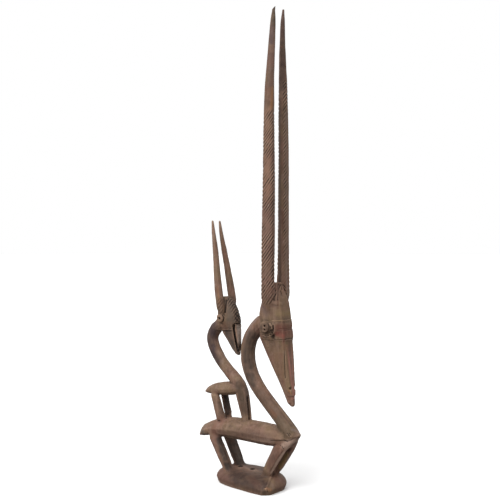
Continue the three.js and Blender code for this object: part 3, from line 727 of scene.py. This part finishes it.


# Stains, with painted shade on shaded sides, holes and gaps and painted highlights on lit ridges:
# the pixels that they show at, half their width in millimetres, their colour and strength,
# and whether the left side has them too.
stains_and_painted_light = [
    # Large head.
    ([(281, 300), (282, 312), (286, 316)], 16, "#7C634A", 0.6, True),
    ([(260, 304), (266, 313)], 11, "#73605A", 0.5, True),
    ([(277, 314), (286, 313)], 8, "#8A7350", 0.55, True),
    ([(270, 306.5)], 3, "#5A4038", 0.6, False),
    ([(279, 330), (291, 330)], 17, "#6E4236", 0.8, True),
    ([(277, 334), (283, 336.5)], 7, "#86463C", 0.6, True),
    ([(283.5, 336), (284, 343), (284.2, 350)], 3, "#86443A", 0.6, True),
    ([(292, 345), (293, 370), (294.5, 398)], 4, "#B2766A", 0.8, True),
    ([(286, 345), (286, 375), (289, 388)], 9, "#7C6846", 0.5, True),
    ([(274, 350), (283, 375)], 14, "#82644C", 0.5, True),
    # Painted highlight along the top of the brow's ledge.
    ([(270, 320.6), (284, 320.4)], 2.4, "#947856", 0.5, True),
    ([(270, 297), (273, 304)], 7, "#6A4A40", 0.5, False),
    ([(288, 302), (290, 309)], 6, "#7A5A50", 0.5, False),
    ([(287.4, 282), (288.4, 297)], 5, "#8C7A70", 0.6, False),
    ([(263, 341), (266, 351)], 7, "#6C5044", 0.5, True),
    ([(264.5, 328)], 17, "#46352A", 0.9, True),
    # Painted shade in the groove beside the ear's crescent, then painted highlights on the crescent's
    # edge, the ring below the ear's holes and the ridge under the ear.
    ([(272, 328), (271.5, 334), (273.5, 337)], 6, "#36261A", 0.8, True),
    ([(272.4, 325.5), (272.2, 329), (271, 333)], 1.6, "#94785C", 0.6, True),
    ([(262, 330.5), (264.5, 332), (267, 330.5)], 1.8, "#8C7260", 0.6, True),
    ([(263, 335.5), (266, 337)], 2, "#94786A", 0.6, True),
    ([(288.8, 390.8), (291.5, 394)], 2.6, "#96602F", 0.7, False),
    ([(277.6, 285), (277.8, 296), (278, 308)], 3, "#5E3A30", 0.65, False),
    # Large neck and body.
    # Painted highlight along the upper edge of the large neck's arch.
    ([(257, 318), (250, 326), (246, 338)], 6, "#8D7A72", 0.6, True),
    ([(252, 336), (247, 352), (248, 368), (251, 384)], 18, "#4C3E35", 0.82, True),
    ([(258, 395), (268, 410), (278, 421)], 22, "#644D3F", 0.8, True),
    ([(278, 424), (285, 432), (290, 428)], 20, "#62513D", 0.8, True),
    ([(271, 399), (282, 414), (292, 426)], 4, "#4E3C34", 0.5, True),
    ([(271, 411), (275, 416)], 7, "#7C5238", 0.5, False),
    ([(247, 382), (252, 389)], 7, "#8C6C60", 0.5, False),
    ([(203, 432)], 9, "#6E665E", 0.7, True),
    ([(222, 433), (245, 435), (270, 438)], 13, "#5E463B", 0.64, True),
    ([(250, 427), (264, 431)], 9, "#846256", 0.45, True),
    ([(213, 430), (216, 436), (222, 452)], 8, "#70493F", 0.55, True),
    ([(222, 438), (255, 441), (272, 441)], 8, "#8C7264", 0.6, True),
    ([(224, 441), (252, 446), (272, 449)], 6, "#7A6254", 0.6, True),
    ([(286, 445), (291, 445)], 6, "#8C7264", 0.6, True),
    # Painted shade on the hind legs' shaded inner sides, a painted highlight along their outer edges,
    # and painted shade over the far hind leg.
    ([(219.6, 440), (222.6, 450), (225.8, 460), (228.4, 467)], 11, "#332924", 0.92, True),
    ([(212.6, 440), (216, 452), (221.6, 466)], 3.5, "#826660", 0.6, True),
    ([(232, 446), (240, 461)], 17, "#332A25", 0.95, False),
    ([(236, 446), (240, 458)], 4, "#544E48", 0.5, False),
    ([(275, 452), (270, 466)], 13, "#684B40", 0.65, True),
    # Painted light on the fronts of the chest and forelegs, where the lamp's light falls short.
    ([(284, 446), (290, 442.5), (295, 441)], 9, "#B59888", 0.8, True),
    ([(287, 454.5), (284.5, 459), (280, 467)], 7, "#8A7048", 0.9, False),
    ([(288.5, 450.5), (290.5, 449.8)], 3, "#4A2A20", 0.7, False),
    ([(291, 452.5), (287.6, 459)], 2.4, "#7F6C68", 0.6, False),
    ([(287.2, 434.4)], 1.5, "#C4A890", 0.8, False),
    ([(290.4, 436.2)], 1.6, "#B0907A", 0.7, False),
    ([(280.4, 436.6)], 1.3, "#AC8C74", 0.6, False),
    (pale_front_edge, 4.6, "#BC9E8C", 0.95, False),
    ([(272.6, 472.5), (270, 479), (268, 484)], 2.6, "#8C715E", 0.7, False),
    # Plinth.
    ([(234, 471), (262, 475)], 18, "#554036", 0.8, True),
    # The plinth's side darker towards the bottom.
    ([(234, 477), (262, 485)], 24, "#3E2C25", 0.95, True),
    ([(262, 470), (266, 476)], 9, "#5A4436", 0.6, False),
    ([(250, 477), (259, 487)], 10, "#5C3E32", 0.5, False),
    ([(239, 481), (245, 483)], 8, "#382821", 0.6, False),
    ([(219, 474), (226, 480)], 15, "#62443A", 0.85, True),
    ([(222, 483), (232, 486.5)], 4, "#806A5C", 0.5, False),
    ([(244, 465.4), (262, 467.6)], 3, "#7A675A", 0.6, False),
    ([(278, 476), (279, 487)], 16, "#6A4A3E", 0.7, True),
    # Painted shade in the two tying holes, near black in the deeper one.
    ([(252.5, 469.3)], 4.4, "#0E0907", 1.0, False),
    ([(240.6, 466.4)], 3.4, "#2C1E17", 0.8, False),
    ([(266.4, 489), (271, 491)], 5, "#8E6040", 0.7, False),
    ([(265.4, 488.6), (266.6, 490.6)], 1.7, "#C8A484", 0.9, False),
    # Large body, chest.
    ([(266, 431), (274, 435), (281, 436)], 10, "#866A52", 0.5, True),
    ([(297, 428), (299, 435)], 4, "#7E706C", 0.5, True),
    # Small antelope.
    ([(213, 326), (209.6, 338), (211, 350), (215, 362)], 18, "#433435", 0.9, True),
    ([(228, 334), (232, 343), (235, 349)], 14, "#4E433B", 0.85, True),
    ([(233, 300), (236, 312), (237, 321)], 20, "#4E4137", 0.8, True),
    ([(229, 322), (231, 330)], 12, "#5E5044", 0.6, True),
    ([(230, 305), (229, 318)], 10, "#62564C", 0.6, True),
    # Painted shade down the fronts of the small antelope's forelegs and between them.
    ([(238.5, 384), (241, 397), (243.4, 412)], 12, "#4A3B2E", 0.75, True),
    ([(246.6, 388), (249, 398), (250.4, 412)], 6, "#6E5A4E", 0.9, True),
    ([(219, 403), (221.4, 413)], 5, "#4E3C32", 0.7, True),
    ([(213, 391.5), (217, 393)], 5, "#70503F", 0.6, True),
    ([(222, 322), (226, 327)], 8, "#7A5A48", 0.55, True),
    # Painted shade in the small head's eye hole.
    ([(219.9, 318.4)], 3.2, "#1E1410", 0.95, True),
    ([(217.3, 285), (219.3, 303)], 3, "#9A6A40", 0.5, True),
    ([(238, 314), (237, 320)], 8, "#362C25", 0.6, True),
    ([(237.8, 326.5), (238.6, 334), (239.2, 342)], 4.6, "#AA9C92", 0.9, True),
    # Painted shade at the foot of the deep cut beside the small nose.
    ([(238, 345), (239, 353)], 6, "#28201B", 0.9, True),
    # Painted shade in the gap beside the small antelope's near hind leg.
    ([(226.5, 397), (227.5, 412)], 10, "#1C1713", 0.95, False),
    # Large horns.
    ([(268, 112), (268, 150), (268, 200)], 14, "#A27A64", 0.62, False),
    ([(267, 205), (267, 280)], 14, "#8E6C60", 0.45, False),
    # Painted shade down the inner side of the right horn.
    ([(273.2, 120), (273, 200), (272.8, 280)], 3, "#4E3B32", 0.6, False),
    ([(271, 216)], 5, "#4C382E", 0.6, False),
    ([(272, 260)], 6, "#4C382E", 0.6, False),
    ([(268.7, 205.5)], 2.3, "#E4CAB2", 0.95, False),
    ([(272.5, 88), (271.5, 108)], 4.5, "#9C6E46", 0.6, False),
    ([(274, 8), (273.4, 24)], 7, "#4A4034", 0.65, False),
    ([(273.8, 15)], 1.3, "#A89A80", 0.8, False),
    ([(272, 28), (271, 42)], 8, "#5C4848", 0.65, False),
    ([(270.6, 55), (269.6, 84)], 9, "#6A5248", 0.5, False),
    ([(283, 12), (282.6, 50), (282, 88)], 9, "#4A3734", 0.65, False),
    ([(281.8, 47)], 2.4, "#7A3E34", 0.6, False),
    # Painted shade down the inner side of the left horn.
    ([(279.5, 100), (279.5, 180), (279.5, 280)], 6, "#483830", 0.6, False),
    ([(286, 112), (286.4, 200), (286.6, 280)], 4.5, "#7C6A5E", 0.6, False),
]
# The fade, unevenness and hiding of wear below apply to the painted light and shade as well as the
# stains.
patch_fade = 0.7               # share of a stain's half width over which it fades
patch_unevenness = 0.35
wear_under_patches = 0.45       # share of the wear that a full stain hides
spots = read(carving_mesh.vertices, "co", 3, np.float32).astype(float)
surface = BVHTree.FromObject(carving, bpy.context.evaluated_depsgraph_get())
stain_and_painted_light = np.zeros((len(spots), 4))
for pixels, reach, colour, strength, both_sides in stains_and_painted_light:
    share = along(spots, pixels, reach, patch_fade, both_sides) * strength
    share = np.clip(share * (1 + patch_unevenness * noise_at(spots, 6 * MM, 21)), 0, 1)[:, None]
    covered = stain_and_painted_light[:, 3:] * (1 - share)
    total = covered + share
    stain_and_painted_light[:, :3] = (stain_and_painted_light[:, :3] * covered + np.array(lit(colour)[:3]) * share) / np.maximum(total, 1e-6)
    stain_and_painted_light[:, 3:] = total
worn = read(carving_mesh.attributes["worn"].data, "value", 1, np.float32)
worn = worn * (1 - wear_under_patches * stain_and_painted_light[:, 3:])
carving_mesh.attributes["worn"].data.foreach_set("value", worn.ravel())
carving_mesh.attributes.new("stain_and_painted_light", "FLOAT_COLOR", "POINT").data.foreach_set(
    "color", stain_and_painted_light.astype(np.float32).ravel()
)


def add_node(tree, kind, inputs, **settings):
    """Adds a node with its settings, and sets or links its inputs."""
    made = tree.nodes.new(kind)
    for name, value in settings.items():
        setattr(made, name, value)
    for name, value in inputs.items():
        if isinstance(value, bpy.types.NodeSocket):
            tree.links.new(value, made.inputs[name])
        else:
            made.inputs[name].default_value = value
    return made


wood = bpy.data.materials.new("patinated_carved_wood")
wood.use_nodes = True
tree = wood.node_tree
tree.nodes.clear()
coordinates = add_node(tree, "ShaderNodeTexCoord", {}).outputs["Object"]


def mottling(size, detail, low, high, stretch=1.0):
    """Soft patches of a size in millimetres, longer upwards by stretch, spread from 0 to 1."""
    per_metre = 1 / (size * MM)
    scaled = add_node(
        tree, "ShaderNodeVectorMath",
        {0: coordinates, 1: (per_metre, per_metre, per_metre / stretch)}, operation="MULTIPLY",
    )
    texture = add_node(
        tree, "ShaderNodeTexNoise",
        {"Vector": scaled.outputs["Vector"], "Scale": 1.0, "Detail": detail, "Roughness": 0.6},
    )
    spread = add_node(
        tree, "ShaderNodeMapRange",
        {"Value": texture.outputs[0], "From Min": low, "From Max": high}, clamp=True,
    )
    return spread.outputs["Result"]


# The layers of colour over the bare wood, from the lowest up: where each lies, how strongly it
# covers what is under it, and its colour.
stored = {
    name: add_node(tree, "ShaderNodeAttribute", {}, attribute_name=name).outputs
    for name in ("stain_and_painted_light", "worn", "hollow")
}
grain = mottling(1.7, 3.0, 0.3, 0.7, stretch=22)
layers = [
    # Reddish wood goes over into yellowish wood, with darker patches, pale streaks along the
    # grain and dust.
    (mottling(55, 3.0, 0.4, 0.6), 1.0, lit("#7E664C")),
    (mottling(20, 5.0, 0.45, 0.7), 0.75, lit("#5A4336")),
    (mottling(6, 3.0, 0.4, 0.65, stretch=12), 0.4, lit("#96786A")),
    (mottling(12, 6.0, 0.52, 0.7), 0.45, lit("#A08374")),
    # The stains with the painted light and shade, then the rubbed ridges, the grain, small dark pores
    # and the dirt in the cuts.
    (stored["stain_and_painted_light"]["Alpha"], 1.0, stored["stain_and_painted_light"]["Color"]),
    (stored["worn"]["Fac"], 0.55, lit("#B4937C")),
    (grain, 0.28, lit("#3E2E26")),
    (mottling(1.1, 2.0, 0.58, 0.75), 0.4, lit("#33261F")),
    (stored["hollow"]["Fac"], 0.88, lit("#241913")),
]
colour = lit("#815B4B")
for where, cover, layer_colour in layers:
    share = add_node(tree, "ShaderNodeMath", {0: where, 1: cover}, operation="MULTIPLY")
    colour = add_node(
        tree, "ShaderNodeMix",
        {"Factor": share.outputs["Value"], "A": colour, "B": layer_colour}, data_type="RGBA",
    ).outputs["Result"]
roughness = add_node(
    tree, "ShaderNodeMapRange",
    {"Value": mottling(9, 4.0, 0.3, 0.7), "To Min": 0.56, "To Max": 0.78},
).outputs["Result"]
height = add_node(
    tree, "ShaderNodeMath",
    {0: grain, 1: -0.5, 2: mottling(2.6, 4.0, 0.3, 0.7)}, operation="MULTIPLY_ADD",
).outputs["Value"]
bump = add_node(tree, "ShaderNodeBump", {"Height": height, "Strength": 0.55, "Distance": 0.35 * MM})
surface_shader = add_node(
    tree, "ShaderNodeBsdfPrincipled",
    {"Base Color": colour, "Roughness": roughness, "IOR": 1.45, "Specular IOR Level": 0.3,
     "Normal": bump.outputs["Normal"]},
)
add_node(tree, "ShaderNodeOutputMaterial", {"Surface": surface_shader.outputs["BSDF"]})
carving_mesh.materials.append(wood)
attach(carving, "root")
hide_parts("headdress")


# The floor: a plain pale sheet of paper under the carving, so wide that no view shows its
# edges. It is part of the studio and not of the carving.
floor_reach = 60.0
floor_mesh = bpy.data.meshes.new("floor")
floor_form = bmesh.new()
bmesh.ops.create_grid(floor_form, x_segments=1, y_segments=1, size=floor_reach)
floor_form.to_mesh(floor_mesh)
floor_form.free()
floor = linked("floor", floor_mesh)
paper = bpy.data.materials.new("white_paper")
paper.use_nodes = True
paper.node_tree.nodes["Principled BSDF"].inputs["Base Color"].default_value = linear("#F2F2F2")
paper.node_tree.nodes["Principled BSDF"].inputs["Roughness"].default_value = 0.9
floor_mesh.materials.append(paper)


# Soft studio light: a white room, one large lamp high on the camera's left, far enough away to
# light the whole floor evenly, and less light from below than the white floor would throw back.
room_light = 1.0
light_from_below = 0.28
floor.visible_diffuse = False
floor.visible_glossy = False
world = bpy.data.worlds.new("studio")
world.use_nodes = True
sky = world.node_tree
direction = add_node(sky, "ShaderNodeTexCoord", {}).outputs["Generated"]
upwards = add_node(sky, "ShaderNodeSeparateXYZ", {"Vector": direction}).outputs["Z"]
strength = add_node(
    sky, "ShaderNodeMapRange",
    {
        "Value": upwards, "From Min": -0.07, "From Max": -0.015,
        "To Min": light_from_below, "To Max": room_light,
    },
).outputs["Result"]
sky.links.new(strength, sky.nodes["Background"].inputs["Strength"])
sky.nodes["Background"].inputs["Color"].default_value = (1.0, 1.0, 1.0, 1.0)
bpy.context.scene.world = world
bpy.context.scene.view_settings.view_transform = "Standard"

lamp_softness = math.radians(50)
lamp_strength = 2.6
lamp_data = bpy.data.lights.new("softbox", "SUN")
lamp_data.angle = lamp_softness
lamp_data.energy = lamp_strength
lamp = bpy.data.objects.new("softbox", lamp_data)
light_way = rightward * 0.55 + forward * 0.65 - upward * 0.75
lamp.rotation_euler = light_way.to_track_quat("-Z", "Y").to_euler()
bpy.context.scene.collection.objects.link(lamp)
